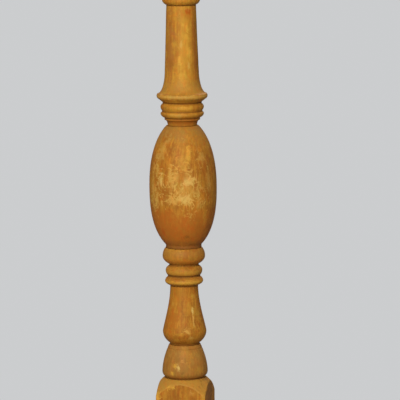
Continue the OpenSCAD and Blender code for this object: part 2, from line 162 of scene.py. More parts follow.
class Bench:
    """A node tree. One method adds any node to it, and the shorter ones call that one."""

    def __init__(self, tree):
        self.tree = tree

    def node(self, kind, settings, sockets, out=0):
        """Adds a node, sets its settings first, then fills or links its sockets; gives one output."""
        made = self.tree.nodes.new(kind)
        for name, value in settings.items():
            setattr(made, name, value)
        self.fill(made, sockets)
        return Wire(self, made.outputs[out] if made.outputs else None)

    def fill(self, made, sockets):
        """Sets the sockets of a node that is there already, or links wires to them."""
        for name, value in sockets.items():
            if isinstance(value, Wire):
                self.tree.links.new(value.socket, made.inputs[name])
            else:
                made.inputs[name].default_value = value

    def maths(self, operation, first, second=0.0):
        return self.node("ShaderNodeMath", {"operation": operation}, {0: first, 1: second})

    def vector(self, operation, first, second, out=0):
        return self.node("ShaderNodeVectorMath", {"operation": operation}, {0: first, 1: second}, out)

    def length(self, vector):
        return self.vector("LENGTH", vector, (0, 0, 0), "Value")

    def scaled(self, vector, amount):
        return self.node("ShaderNodeVectorMath", {"operation": "SCALE"}, {0: vector, "Scale": amount})

    def step(self, value, low, high):
        """0 below low, 1 above high and smooth between; low may be the larger one."""
        return self.node(
            "ShaderNodeMapRange",
            {"interpolation_type": "SMOOTHSTEP"},
            {"Value": value, "From Min": low, "From Max": high},
        )

    def noise(self, point, seed, scale=1.0, detail=2.0, roughness=0.5, swirl=0.0):
        return self.node(
            "ShaderNodeTexNoise",
            {"noise_dimensions": "4D"},
            {
                "Vector": point, "W": seed, "Scale": scale, "Detail": detail, "Roughness": roughness,
                "Distortion": swirl,
            },
        )

    def colour(self, share, base, over):
        """Lays one colour over another by a share from 0 to 1."""
        base, over = (c if isinstance(c, Wire) else (*c, 1.0) for c in (base, over))
        return self.node("ShaderNodeMix", {"data_type": "RGBA"}, {0: share, 6: base, 7: over}, 2)

    def clamped(self, value):
        return self.node("ShaderNodeClamp", {}, {"Value": value})

    def object_place(self):
        """The place of a shaded point, in Object coordinates."""
        return self.node("ShaderNodeTexCoord", {}, {}, "Object")

    def attribute(self, name):
        """A number that a piece's mesh carries at its points, for a material."""
        return self.node("ShaderNodeAttribute", {"attribute_name": name}, {}, "Fac")


print("Node helpers are ready")

# %% [markdown]
# ## Floor and light
# A large soft lamp stands in front, high and a little to the left, as in the photograph, where the right
# flank of the bulb and the undersides of the rings fall into shade. A weaker one fills the right side, and
# a third keeps the back readable. The floor is one wide disc, so no wall gets in the way when the camera
# walks round. To the camera it is pale, and far off it is one even tone. To the wood it is a darker floor,
# because a pale one would throw too much light up from below. From underneath it is clear, and also for a
# ray that only just left the wood, so the camera can look at the feet too and finds light on them.

# %% Floor
FLOOR_RADIUS = 40.0
FLOOR_CORNERS = 96
FLOOR_COLOUR = (0.62, 0.63, 0.64)
FLOOR_TO_WOOD = (0.24, 0.24, 0.24)
BACKGROUND = (0.60, 0.61, 0.62)
EVEN_FROM = 0.25
EVEN_TO = 0.60
FLOOR_DROP = 0.1 * MM
CONTACT = 0.5 * MM

bpy.ops.mesh.primitive_circle_add(
    vertices=FLOOR_CORNERS, radius=FLOOR_RADIUS, fill_type="NGON", location=(0, 0, -FLOOR_DROP)
)
floor = bpy.context.object
floor.name = "floor"
floor_finish = bpy.data.materials.new("pale floor")
floor_finish.use_nodes = True
bench = Bench(floor_finish.node_tree)
spot = bench.object_place()
far_off = bench.step(bench.length(spot), EVEN_FROM, EVEN_TO)
seen = bench.node("ShaderNodeLightPath", {}, {}, "Is Camera Ray")
near = bench.node("ShaderNodeBsdfDiffuse", {}, {"Color": (*FLOOR_COLOUR, 1)})
even = bench.node("ShaderNodeEmission", {}, {"Color": (*BACKGROUND, 1), "Strength": 1.0})
to_camera = bench.node("ShaderNodeMixShader", {}, {0: far_off, 1: near, 2: even})
to_wood = bench.node("ShaderNodeBsdfDiffuse", {}, {"Color": (*FLOOR_TO_WOOD, 1)})
from_above = bench.node("ShaderNodeMixShader", {}, {0: seen, 1: to_wood, 2: to_camera})
underneath = bench.node("ShaderNodeNewGeometry", {}, {}, "Backfacing")
just_left = bench.step(seen.output("Ray Length"), CONTACT, CONTACT / 2)
clear = bench.node("ShaderNodeBsdfTransparent", {}, {})
see_through = bench.clamped(underneath + just_left)
mixed = bench.node("ShaderNodeMixShader", {}, {0: see_through, 1: from_above, 2: clear})
bench.fill(bench.tree.nodes["Material Output"], {"Surface": mixed})
floor.data.materials.append(floor_finish)
print("Floor radius in m:", FLOOR_RADIUS)

# %% Lamps
LAMP_COLOUR = (1.0, 0.97, 0.92)
LAMP_TARGET = Vector((0, 0, 0.35))
LAMPS = {
    # name: azimuth from the camera, elevation, distance, size, level on a white card
    "key lamp": (-13, 24, 2.4, 1.2, 0.90),
    "fill lamp": (60, 15, 2.6, 1.6, 0.07),
    "back lamp": (170, 45, 2.6, 1.6, 0.40),
}
for name, (azimuth, elevation, distance, size, level) in LAMPS.items():
    lamp = bpy.data.lights.new(name, "AREA")
    lamp.size = size
    lamp.color = LAMP_COLOUR
    # A lamp of power P puts P / (pi d)^2 on a white card that faces it at a distance d
    lamp.energy = level * (math.pi * distance) ** 2
    holder = linked(name, lamp)
    to_lamp = direction(CAMERA_AZIMUTH + math.radians(azimuth), math.radians(elevation))
    holder.location = LAMP_TARGET + distance * to_lamp
    holder.rotation_euler = to_lamp.to_track_quat("Z", "Y").to_euler()
print("Lamps:", list(LAMPS))

# %% World
WORLD_LEVEL = 0.26
WORLD_COLOUR = (0.93, 0.96, 1.0)
world = bpy.data.worlds.new("studio")
world.use_nodes = True
bench = Bench(world.node_tree)
glow = world.node_tree.nodes["Background"]
bench.fill(glow, {"Color": (*WORLD_COLOUR, 1), "Strength": WORLD_LEVEL})
backdrop = bench.node("ShaderNodeBackground", {}, {"Color": (*BACKGROUND, 1), "Strength": 1.0})
seen = bench.node("ShaderNodeLightPath", {}, {}, "Is Camera Ray")
mixed = bench.node("ShaderNodeMixShader", {}, {0: seen, 1: Wire(bench, glow.outputs[0]), 2: backdrop})
bench.fill(bench.tree.nodes["World Output"], {"Surface": mixed})
scene.world = world
print("World level:", WORLD_LEVEL)

# %% [markdown]
# ## Reading a turned outline
# A turner works from a half outline: a radius for each height. The CAD solids hold exactly that, so each
# turned piece is cut by a plane through its axis, and the points of the cut, joined end to end, are its
# outline. The cut runs a hair beside the seam of the CAD circles, where the radius is exact.

# %% Cut outlines out of the CAD solids
WELD = 0.001 * MM
HAIR = 0.002 * MM
SHORTEST_RUN = 0.05 * MM


def welded(*nodes):
    """The CAD meshes of some nodes as one solid mesh with joined corners."""
    solid = bmesh.new()
    for node in nodes:
        solid.from_mesh(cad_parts[node].data)
    bmesh.ops.remove_doubles(solid, verts=solid.verts, dist=WELD)
    return solid


def cut_edges(node, centre):
    """Edges of the cut through a node's axis, on the +X side, as pairs of linked vertices."""
    solid = welded(node)
    plane_point = (centre[0], centre[1] + HAIR, 0)
    geometry = solid.verts[:] + solid.edges[:] + solid.faces[:]
    found = bmesh.ops.bisect_plane(solid, geom=geometry, plane_co=plane_point, plane_no=(0, 1, 0))
    ends = {}
    for edge in found["geom_cut"]:
        if isinstance(edge, bmesh.types.BMEdge) and max(v.co.x for v in edge.verts) > centre[0] + HAIR:
            first, second = edge.verts
            ends.setdefault(first, []).append(second)
            ends.setdefault(second, []).append(first)
    return solid, ends


def cut_outline(node, centre=(0.0, 0.0)):
    """Half outline of a turned node as (radius, height) points, with the solid on its left."""
    solid, ends = cut_edges(node, centre)
    start = next((v for v in ends if len(ends[v]) == 1), None)
    closed = start is None
    if closed:
        start = min(ends, key=lambda v: v.co.x)
    chain = [start]
    here, before = ends[start][0], start
    while here is not None and here is not start:
        chain.append(here)
        onward = [v for v in ends[here] if v is not before]
        here, before = (onward[0] if onward else None), here
    if closed:
        chain.append(start)
    points = [Vector((max(v.co.x - centre[0], 0.0), v.co.z)) for v in chain]
    solid.free()
    kept = [points[0]]
    for point in points[1:]:
        if (point - kept[-1]).length > SHORTEST_RUN:
            kept.append(point)
    kept[-1] = points[-1]
    doubled_area = sum(p.x * q.y - q.x * p.y for p, q in zip(kept, kept[1:] + kept[:1]))
    return kept if doubled_area > 0 else kept[::-1]


STEM = ["nozzle", "column", "upper_collar", "bulb", "lower_collar", "baluster", "bell"]
BASE = ["block", "base_moulding", "plinth"]
FEET = ["foot_front_left", "foot_front_right", "foot_back_left", "foot_back_right"]
CUP = ["drip_pan", "socket_tube", "socket_floor"]
outlines = {node: cut_outline(node) for node in STEM + CUP + BASE}
print("Outline points:", {node: len(points) for node, points in outlines.items()})

# %% [markdown]
# ## Where dirt and painted shade gather, and where hands rub
# Grooves darken with dirt, wax and painted shade, and crowns and rims are rubbed pale. Both follow from
# the outline: around a point in a groove there is more wood than air, around a point on a rim less. So for
# each outline point the share of wood is counted in a small disc, and kept as `relief`: above 0 in a
# groove, below 0 on a rim.

# %% Relief along the outlines
LEVEL_STEP = 0.2 * MM
FEEL_RADIUS = 2.6 * MM
FEEL_DIRECTIONS = 24
SHOWN_DEPTH = 0.6 * MM
SPARE_HEIGHT = 10 * MM

levels = np.arange(0, cad_box[1].z + SPARE_HEIGHT, LEVEL_STEP)
silhouette = np.zeros(len(levels))
for node in STEM + BASE:
    for p, q in zip(outlines[node], outlines[node][1:]):
        count = max(2, int((q - p).length / LEVEL_STEP) * 2)
        shares = np.linspace(0, 1, count)
        rows = np.rint((p.y + (q.y - p.y) * shares) / LEVEL_STEP).astype(int)
        np.maximum.at(silhouette, rows, p.x + (q.x - p.x) * shares)

feel_angles = np.linspace(0, 2 * np.pi, FEEL_DIRECTIONS, endpoint=False)
feel_radii = FEEL_RADIUS * np.sqrt([0.15, 0.5, 0.85])
feel_across = np.outer(feel_radii, np.cos(feel_angles)).ravel()
feel_along = np.outer(feel_radii, np.sin(feel_angles)).ravel()


def relief_at(point):
    """Share of wood around a point of the outline, from -1 (all air) to 1 (all wood)."""
    reach = np.interp(point.y + feel_along, levels, silhouette)
    return 2 * np.mean(point.x + feel_across < reach) - 1


def is_shown(point):
    """True on the outside of the stem, False on spigots, in bores and between sections."""
    return point.x > np.interp(point.y, levels, silhouette) - SHOWN_DEPTH


print("Silhouette from", round(silhouette.min() / MM, 1), "to", round(silhouette.max() / MM, 1), "mm")

# %% [markdown]
# ## Softening an outline
# No edge of an old turned piece is sharp any more. Each corner of an outline is cut back by a fraction of
# a millimetre and rounded, and long runs on the outside are split, so that dents have points to move.

# %% Worn outlines
ROUND_FROM = math.radians(14)
RUN_PARTS = 2.2


def worn_outline(points, arris, step, shown):
    """The outline with its corners rounded over the length arris and its shown runs split to step. A corner
    takes no more than one of RUN_PARTS from a run, so that two corners never meet."""
    soft = [points[0]]
    for before, corner, after in zip(points, points[1:], points[2:]):
        run_in, run_out = before - corner, after - corner
        if math.pi - run_in.angle(run_out) < ROUND_FROM:
            soft.append(corner)
            continue
        first = corner + run_in.normalized() * min(arris, run_in.length / RUN_PARTS)
        last = corner + run_out.normalized() * min(arris, run_out.length / RUN_PARTS)
        soft += [first, (first + 2 * corner + last) / 4, last]
    soft.append(points[-1])
    split = [soft[0]]
    for p, q in zip(soft, soft[1:]):
        pieces = math.ceil((q - p).length / step) if shown((p + q) / 2) else 1
        split += [p.lerp(q, (i + 1) / pieces) for i in range(pieces)]
    return split


def outline_object(name, points, relief, shown):
    """An object of one polyline in the XZ plane that carries relief and shown at its points."""
    mesh = bpy.data.meshes.new(name)
    mesh.from_pydata([(p.x, 0, p.y) for p in points], [(i, i + 1) for i in range(len(points) - 1)], [])
    for label, feel in (("relief", relief), ("shown", shown)):
        values = [float(feel(p)) for p in points]
        mesh.attributes.new(label, "FLOAT", "POINT").data.foreach_set("value", values)
    return linked(name, mesh)


print("Outline tools are ready")

# %% [markdown]
# ## A lathe in Geometry Nodes
# Every section of the stem follows one rule: an outline turned about an axis. The tree lays out a grid with
# one row for each outline point and one column for each step round the axis, looks the outline point up by
# its row, and bends the row into a circle. Then it moves the surface in along its normals: slightly out of
# round, as dried wood is, with soft dents, and with small chips where `relief` says that there is a rim.

# %% The lathe tree
def new_tree(name, asks):
    """An empty Geometry Nodes tree with named inputs: its bench, input wires and modifier keys."""
    tree = bpy.data.node_groups.new(name, "GeometryNodeTree")
    keys = {}
    for label, kind in asks.items():
        socket = tree.interface.new_socket(label, in_out="INPUT", socket_type="NodeSocket" + kind)
        keys[label] = socket.identifier
    tree.interface.new_socket("Geometry", in_out="OUTPUT", socket_type="NodeSocketGeometry")
    bench = Bench(tree)
    entry = bench.node("NodeGroupInput", {}, {})
    return bench, {label: entry.output(label) for label in asks}, keys


def named(bench, name):
    """A number that a mesh carries at its points, for a Geometry Nodes tree."""
    return bench.node("GeometryNodeInputNamedAttribute", {"data_type": "FLOAT"}, {"Name": name})


def ring_point(bench, radius, turn, height):
    """A point round the Z axis, from its radius, its turn and its height."""
    cosine = bench.maths("COSINE", turn)
    sine = bench.maths("SINE", turn)
    return bench.node("ShaderNodeCombineXYZ", {}, {0: radius * cosine, 1: radius * sine, 2: height})


def rolled_grid(bench, columns, rows):
    """A grid to be rolled up: the sheet, and for each point its turn round the axis and its row."""
    sheet = bench.node(
        "GeometryNodeMeshGrid",
        {},
        {"Size X": 1.0, "Size Y": 1.0, "Vertices X": columns, "Vertices Y": rows},
    )
    spot = bench.node("ShaderNodeSeparateXYZ", {}, {0: bench.node("GeometryNodeInputPosition", {}, {})})
    row = bench.maths("ROUND", (spot.output("Y") + 0.5) * (rows - 1))
    return sheet, (spot + 0.5) * (2 * math.pi), row


def end_tree(bench, geometry, material):
    """Smooth shading, realized instances, the material and the way out."""
    smooth = bench.node("GeometryNodeSetShadeSmooth", {}, {"Geometry": geometry})
    real = bench.node("GeometryNodeRealizeInstances", {}, {"Geometry": smooth})
    dressed = bench.node("GeometryNodeSetMaterial", {}, {"Geometry": real, "Material": material})
    bench.node("NodeGroupOutput", {}, {"Geometry": dressed})


def wear_surface(bench, geometry, asks, shown):
    """Moves a surface inwards along its normals: out of true, dented, and chipped on its rims."""
    place = bench.node("GeometryNodeInputPosition", {}, {})
    seed = asks["Seed"]
    bow = bench.noise(place, seed, scale=14, detail=1) - 0.5
    dent = bench.step(bench.noise(place, seed + 7, scale=75, detail=1), 0.60, 0.78)
    ripple = bench.noise(place, seed + 13, scale=260, detail=2) - 0.5
    chip = bench.step(bench.noise(place, seed + 21, scale=130, detail=3), 0.52, 0.70)
    rim = bench.step(named(bench, "relief"), -0.12, -0.42)
    bowed = asks["Bow"] * (0.6 - bow * 2)
    dented = asks["Dent"] * (dent + 0.1 - ripple * 0.25)
    depth = bowed + dented + asks["Chip"] * chip * rim
    normal = bench.node("GeometryNodeInputNormal", {}, {})
    shift = bench.scaled(normal, -depth * shown)
    return bench.node("GeometryNodeSetPosition", {}, {"Geometry": geometry, "Offset": shift})


WEAR_ASKS = {"Bow": "Float", "Dent": "Float", "Chip": "Float", "Seed": "Float", "Material": "Material"}
lathe, asks, LATHE_KEYS = new_tree(
    "turn on the lathe",
    {"Outline": "Geometry", "Columns": "Int", "Axis": "Vector", **WEAR_ASKS},
)
rows = lathe.node("GeometryNodeAttributeDomainSize", {"component": "MESH"}, {"Geometry": asks["Outline"]})
sheet, turn, row = rolled_grid(lathe, asks["Columns"] + 1, rows)


def looked_up(value, data_type):
    """A value of the outline's points, looked up for each point of the grid by its row."""
    return lathe.node(
        "GeometryNodeSampleIndex",
        {"data_type": data_type, "domain": "POINT"},
        {"Geometry": asks["Outline"], "Value": value, "Index": row},
    )


for label in ("relief", "shown"):
    sheet = lathe.node(
        "GeometryNodeStoreNamedAttribute",
        {"data_type": "FLOAT", "domain": "POINT"},
        {"Geometry": sheet, "Name": label, "Value": looked_up(named(lathe, label), "FLOAT")},
    )
outline_point = looked_up(lathe.node("GeometryNodeInputPosition", {}, {}), "FLOAT_VECTOR")
part = lathe.node("ShaderNodeSeparateXYZ", {}, {0: outline_point})
placed = lathe.vector("ADD", ring_point(lathe, part, turn, part.output("Z")), asks["Axis"])
bent = lathe.node("GeometryNodeSetPosition", {}, {"Geometry": sheet, "Position": placed})
closed = lathe.node("GeometryNodeMergeByDistance", {}, {"Geometry": bent, "Distance": WELD})
end_tree(lathe, wear_surface(lathe, closed, asks, named(lathe, "shown")), asks["Material"])
print("Lathe inputs:", list(LATHE_KEYS))


# %% Turn a piece
def settle(piece):
    """Turns a piece with modifiers into a plain mesh and takes the modifiers off."""
    bpy.context.view_layer.update()
    graph = bpy.context.evaluated_depsgraph_get()
    evaluated = piece.evaluated_get(graph)
    mesh = bpy.data.meshes.new_from_object(evaluated, preserve_all_data_layers=True, depsgraph=graph)
    mesh.name = piece.name
    piece.modifiers.clear()
    piece.data = mesh
    return piece


def apply_tree(piece, bench, keys, values):
    """Adds a Geometry Nodes modifier and sets its inputs by their keys."""
    modifier = piece.modifiers.new("shape", "NODES")
    modifier.node_group = bench.tree
    for label, value in values.items():
        modifier[keys[label]] = value


def place_piece(piece, body, slot, *nodes):
    """Hides the CAD nodes that a piece replaces and hangs it on the body that it moves with. slot is not
    used.
    """
    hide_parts(*nodes)
    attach(piece, body)
    triangles = sum(len(face.vertices) - 2 for face in piece.data.polygons)
    print(piece.name, "has", triangles, "triangles")


def turn_piece(name, points, arris, step, relief=relief_at, shown=is_shown, axis=(0.0, 0.0, 0.0), **values):
    """Turns an outline into a finished mesh. values are the other inputs of the lathe tree."""
    piece = outline_object(name, worn_outline(points, arris, step, shown), relief, shown)
    apply_tree(piece, lathe, LATHE_KEYS, {"Axis": axis, **values})
    return settle(piece)


print("The lathe is ready")

# %% [markdown]
# ## A worn board in Geometry Nodes
# The block, the moulding and the plinth are square, so the lathe can't make them. A fine voxel skin is laid
# over a copy of each CAD solid, and a second tree wears it down. Blurring the points rounds every edge and
# fills each inner corner a little. Blurring them further shows the relief: a point that the blur pulls
# outwards lies in a groove, one that it pulls inwards lies on a rim. Where the board comes close to its
# neighbours there is a seam, which darkens as a groove does, with dirt and painted shade, and takes no
# dents. The `tilt` of the surface is kept too, 1 where it faces up; it places the painted light on the
# block's shoulders.

# %% The board tree
HOLLOW_SCALE = 1.8 * MM
SEAM_WIDTH = 2.2 * MM
SEAM_GAP = 0.2 * MM

board, asks, BOARD_KEYS = new_tree(
    "wear a board",
    {"Board": "Geometry", "Beside": "Object", "Rounding": "Int", "Feel": "Int", **WEAR_ASKS},
)
place = board.node("GeometryNodeInputPosition", {}, {})


def blurred(times):
    """The places of the points after they were averaged with their neighbours some times."""
    return board.node(
        "GeometryNodeBlurAttribute", {"data_type": "FLOAT_VECTOR"}, {"Value": place, "Iterations": times}
    )


rounded = board.node(
    "GeometryNodeSetPosition", {}, {"Geometry": asks["Board"], "Position": blurred(asks["Rounding"])}
)
pull = board.vector("SUBTRACT", blurred(asks["Feel"]), place)
normal = board.node("GeometryNodeInputNormal", {}, {})
hollow = board.vector("DOT_PRODUCT", pull, normal, "Value") / HOLLOW_SCALE
beside = board.node("GeometryNodeObjectInfo", {}, {"Object": asks["Beside"]}, "Geometry")
gap = board.node("GeometryNodeProximity", {"target_element": "FACES"}, {0: beside}, "Distance")
seam = board.step(gap, SEAM_WIDTH, SEAM_GAP)
tilt = board.vector("DOT_PRODUCT", normal, (0, 0, 1), "Value")
marked = rounded
for label, value in (("relief", hollow + seam * 0.5), ("tilt", tilt)):
    marked = board.node(
        "GeometryNodeStoreNamedAttribute",
        {"data_type": "FLOAT", "domain": "POINT"},
        {"Geometry": marked, "Name": label, "Value": value},
    )
end_tree(board, wear_surface(board, marked, asks, 1 - seam), asks["Material"])
print("Board inputs:", list(BOARD_KEYS))


# %% Make a board
def solid_object(name, *nodes):
    """A new object with the welded CAD meshes of some nodes."""
    solid = welded(*nodes)
    mesh = bpy.data.meshes.new(name)
    solid.to_mesh(mesh)
    solid.free()
    return linked(name, mesh)


def wear_board(name, node, neighbours, voxel, **values):
    """A worn copy of a square CAD node. values are the other inputs of the board tree."""
    piece = solid_object(name, node)
    skin = piece.modifiers.new("skin", "REMESH")
    skin.mode = "VOXEL"
    skin.voxel_size = voxel
    beside = solid_object(name + " neighbours", *neighbours)
    apply_tree(piece, board, BOARD_KEYS, {"Beside": beside, **values})
    settle(piece)
    bpy.data.objects.remove(beside)
    return piece


print("The boards can be worn")

# %% [markdown]
# ## Old wood
# The stem is an old hardwood under a worn, oily finish. The colour is built up as it came about: growth
# rings around a pith that lies beside the axis, long fibres, a patina that has gone orange brown in clouds,
# marks of use, pale places where it is rubbed through, small blotches that are redder or yellower, and
# dark dirt in the grooves, which carries painted shade there too. Some marks are painted shade or painted
# highlights, and the block's shoulders get a painted light. All of it is solid, in Object coordinates, so
# the grain runs through each section from end to end. Flat stripes on the surface would be simpler, but
# would not follow the turned form.

# %% Patterns in the wood
RING_WIDTH = 2.4 * MM
SWAY = 9 * MM


def wood_patterns(bench, seed, pith, turn):
    """The patterns that the finish is built from, and the place that they are read at."""
    place = bench.object_place()
    grain_place = bench.node("ShaderNodeMapping", {}, {"Vector": place, "Rotation": turn})
    wander = bench.noise(grain_place, seed, scale=16, detail=2).output("Color")
    sway = bench.scaled(bench.vector("SUBTRACT", wander, (0.5, 0.5, 0.5)), SWAY)
    from_pith = bench.vector("ADD", bench.vector("SUBTRACT", grain_place, (*pith, 0)), sway)
    across = bench.vector("MULTIPLY", from_pith, (1, 1, 0))
    years = bench.length(across) / RING_WIDTH
    year = bench.maths("FRACT", years)
    fibre_place = bench.vector("MULTIPLY", grain_place, (1, 1, 0.06))
    cloud_place = bench.vector("MULTIPLY", grain_place, (1, 1, 0.55))
    ring_place = bench.vector("MULTIPLY", bench.vector("ADD", place, sway), (0.16, 0.16, 1))
    swirl = bench.noise(place, seed + 33, scale=80, detail=3, roughness=0.5, swirl=1.3)
    from_vein = bench.maths("ABSOLUTE", swirl - 0.5)
    return SimpleNamespace(
        place=place,
        late=bench.step(year, 0.35, 0.92) * bench.step(year, 1.0, 0.93),
        fibre=bench.noise(fibre_place, seed + 3, scale=420, detail=4, roughness=0.62),
        pore=bench.step(bench.noise(fibre_place, seed + 5, scale=1500, detail=1), 0.60, 0.70),
        cloud=bench.noise(cloud_place, seed + 9, scale=45, detail=4, roughness=0.6),
        fleck=bench.noise(cloud_place, seed + 15, scale=150, detail=4, roughness=0.66, swirl=0.9),
        ring_streak=bench.noise(ring_place, seed + 27, scale=380, detail=3, roughness=0.6),
        blush=bench.noise(cloud_place, seed + 39, scale=190, detail=4, roughness=0.7, swirl=0.4),
        blotch=bench.noise(cloud_place, seed + 45, scale=120, detail=2.5, roughness=0.5, swirl=1.2),
        vein=bench.step(from_vein, 0.05, 0.0),
    )


print("Growth rings are", RING_WIDTH / MM, "mm wide")

# %% Layers of colour
REDDER = (1.16, 0.87, 0.80)
YELLOWER = (0.91, 1.09, 1.10)


def aged_colour(bench, wood, tones, lit_shoulder):
    """Patina, late wood and streaks in three tones, dark to light. lit_shoulder, where there is one, is a
    painted
    light: a lighter colour laid on the surfaces that lean back and face up."""
    dark, mid, light = tones
    patina = bench.step(wood.cloud + (wood.fibre - 0.5) * 0.3 + (wood.fleck - 0.5) * 0.3, 0.34, 0.64)
    colour = bench.colour(patina, dark, mid)
    colour = bench.colour(bench.step(wood.fibre * 0.5 + wood.fleck * 0.5, 0.44, 0.62) * 0.6, colour, light)
    colour = bench.colour(wood.late * 0.18, colour, dark)
    colour = bench.colour(bench.step(wood.ring_streak, 0.54, 0.74) * 0.28, colour, light)
    colour = bench.colour(bench.step(wood.ring_streak, 0.46, 0.28) * 0.22, colour, dark)
    if lit_shoulder:
        # Painted light: surfaces that face up get a lighter colour, as if lit from above.
        tilt = bench.attribute("tilt")
        leaning = bench.step(tilt + (wood.fleck - 0.5) * 0.12, 0.10, 0.24)
        colour = bench.colour(leaning * 0.75, colour, lit_shoulder)
    return colour


def marked_colour(bench, wood, colour, marks):
    """Marks over a colour, each a soft veil with ragged flakes in it: marks of use, and a few of painted
    light and shade.
    """
    ragged = (wood.blotch - 0.5) * 3.2 + (wood.fleck - 0.5) * 1.2 + (wood.fibre - 0.5) * 0.8
    ragged = ragged + (wood.ring_streak - 0.5) * 1.2 + 0.25 - wood.vein * 0.7
    for centre, half_width, half_height, share, tone, flaky in marks:
        reach = (half_width, half_width, half_height)
        spread = bench.vector("DIVIDE", bench.vector("SUBTRACT", wood.place, centre), reach)
        away = bench.length(spread)
        veil = bench.step(away + ragged * (0.4 * flaky), 1.25, 0.35)
        flakes = bench.step(away + ragged * (1.6 * flaky), 1.25, 0.25)
        colour = bench.colour((veil * 0.4 + flakes * 0.6) * share, colour, tone)
    return colour


def blushed_colour(bench, wood, colour):
    """Small blotches that are redder or yellower than the colour around them."""
    redder = bench.vector("MULTIPLY", colour, REDDER)
    yellower = bench.vector("MULTIPLY", colour, YELLOWER)
    colour = bench.colour(bench.step(wood.blush, 0.48, 0.68) * 0.6, colour, redder)
    return bench.colour(bench.step(wood.blush, 0.52, 0.32) * 0.6, colour, yellower)


print("Blotches times", REDDER, "and", YELLOWER)

# %% Wood finish
STRAW = (0.63, 0.345, 0.064)
HONEY = (0.57, 0.262, 0.027)
AMBER = (0.46, 0.182, 0.016)
RUSSET = (0.34, 0.112, 0.011)
UMBER = (0.21, 0.077, 0.013)
# A dark colour for dirt, and for painted shade in grooves and under rims
DIRT_AND_SHADE = (0.16, 0.056, 0.007)
RUBBED = 0.5


def new_finish(name):
    """A new material, its bench and its shader."""
    material = bpy.data.materials.new(name)
    material.use_nodes = True
    return material, Bench(material.node_tree), material.node_tree.nodes["Principled BSDF"]


def wood_finish(name, seed, pith, tones, dirt_and_shade_share=1.0, marks=(), turn=(0, 0, 0), lit_shoulder=None):
    """Old wood in three tones, dark to light. pith is where the middle of the tree lay, dirt_and_shade_share
    the share of grime and painted shade in the grooves, marks are places of use and a few of painted light
    and shade, and lit_shoulder is the painted light on surfaces that lean back and face up."""
    material, bench, shader = new_finish(name)
    wood = wood_patterns(bench, seed, pith, turn)
    relief = bench.attribute("relief")
    groove = bench.step(relief, 0.08, 0.45)
    rim = bench.step(relief, -0.08, -0.45)
    colour = marked_colour(bench, wood, aged_colour(bench, wood, tones, lit_shoulder), marks)

    thin = wood.fleck * 0.55 + wood.cloud * 0.45 + (wood.fibre - 0.5) * 0.3
    worn = bench.step(thin, 0.58, 0.72) * RUBBED
    bared = rim * bench.step(wood.fleck * 0.6 + wood.cloud * 0.4, 0.42, 0.62)
    colour = bench.colour(bench.clamped(worn * 0.6 + bared * 0.55), colour, STRAW)
    colour = bench.colour(wood.pore * 0.3, blushed_colour(bench, wood, colour), tones[0])
    # Grooves darken with dirt and with painted shade, where the relief says that wood surrounds the point.
    dirt_and_shade = bench.clamped(groove * (0.55 + 0.5 * wood.cloud)) * dirt_and_shade_share

    height = wood.fibre * 0.5 + wood.late * 0.25 - wood.pore * 0.4 + wood.fleck * 0.5
    height = height - worn * 0.3 + wood.ring_streak * 0.4
    bump = bench.node("ShaderNodeBump", {}, {"Strength": 0.35, "Distance": 0.25 * MM, "Height": height})
    bench.fill(
        shader,
        {
            "Base Color": bench.colour(dirt_and_shade, colour, DIRT_AND_SHADE),
            "Roughness": 0.50 + 0.16 * wood.fleck + 0.1 * worn + 0.2 * dirt_and_shade,
            "Normal": bump,
            "Specular IOR Level": 0.14,
        },
    )
    return material


GOLDEN = ((0.41, 0.155, 0.014), (0.50, 0.213, 0.019), (0.64, 0.315, 0.031))
ORANGE = (RUSSET, AMBER, HONEY)
TAWNY = ((0.36, 0.132, 0.014), (0.47, 0.200, 0.023), HONEY)
BROWN = ((0.33, 0.139, 0.021), (0.40, 0.177, 0.029), (0.47, 0.217, 0.037))
print("Wood tones:", GOLDEN, ORANGE, TAWNY, BROWN)

# %% [markdown]
# ## Marks of use, and painted light and shade
# Some marks belong to one place: the rubbed belly of the bulb, a rust stain under the nozzle, chips at the
# foot of the bell. Others are painted shade, under the rim, in grooves, at the foot and on the right flank
# of the bulb and on the right face of the block, or painted highlights, on the rim, the rings and the left
# edge of the bulb. Each is given as the camera sees it: how far right of the axis and at which height. From
# there the sight line is followed to the front of the wood. A zone goes all round instead, and on the square
# pieces a mark is given by its place. The side that faces away has marks of its own.

# %% Marks of use
PALE = (0.70, 0.43, 0.105)
GOLD = (0.66, 0.332, 0.038)
RUST = (0.46, 0.10, 0.007)
SIGHT_ROUNDS = 6


def front(aside, height, azimuth):
    """Where an eye at an azimuth meets the wood, given how far aside of the axis and how high, in mm. The
    depth depends on the radius there and the radius on the depth, so a few rounds bring them together."""
    aside, height = aside * MM, height * MM
    slope = math.tan(CAMERA_ELEVATION + (LOOK_HEIGHT - height) / CAMERA_DISTANCE)
    depth = 0.0
    for _ in range(SIGHT_ROUNDS):
        radius = np.interp(height + depth * slope, levels, silhouette)
        depth = math.sqrt(max(radius * radius - aside * aside, 0.0))
    right, forward = direction(azimuth + math.pi / 2, 0), direction(azimuth, 0)
    return right * aside + forward * depth + Vector((0, 0, height + depth * slope))


def marks_at(*rows, flaky=1.0, azimuth=CAMERA_AZIMUTH):
    """Marks from rows of aside, height, half width, half height (all in mm), share and tone."""
    return [(front(a, h, azimuth), w * MM, t * MM, share, tone, flaky) for a, h, w, t, share, tone in rows]


def zone(height, half_width, half_height, share, tone, flaky=0.4):
    """A mark all round the axis."""
    return [(Vector((0, 0, height * MM)), half_width * MM, half_height * MM, share, tone, flaky)]


def corner_marks(*rows):
    """Marks on a square piece, from rows of x, y, z, half width, half height (in mm), share and tone."""
    return [
        (Vector((x, y, z)) * MM, w * MM, t * MM, share, tone, 1.0) for x, y, z, w, t, share, tone in rows
    ]


print("Mark tones:", PALE, GOLD, RUST)

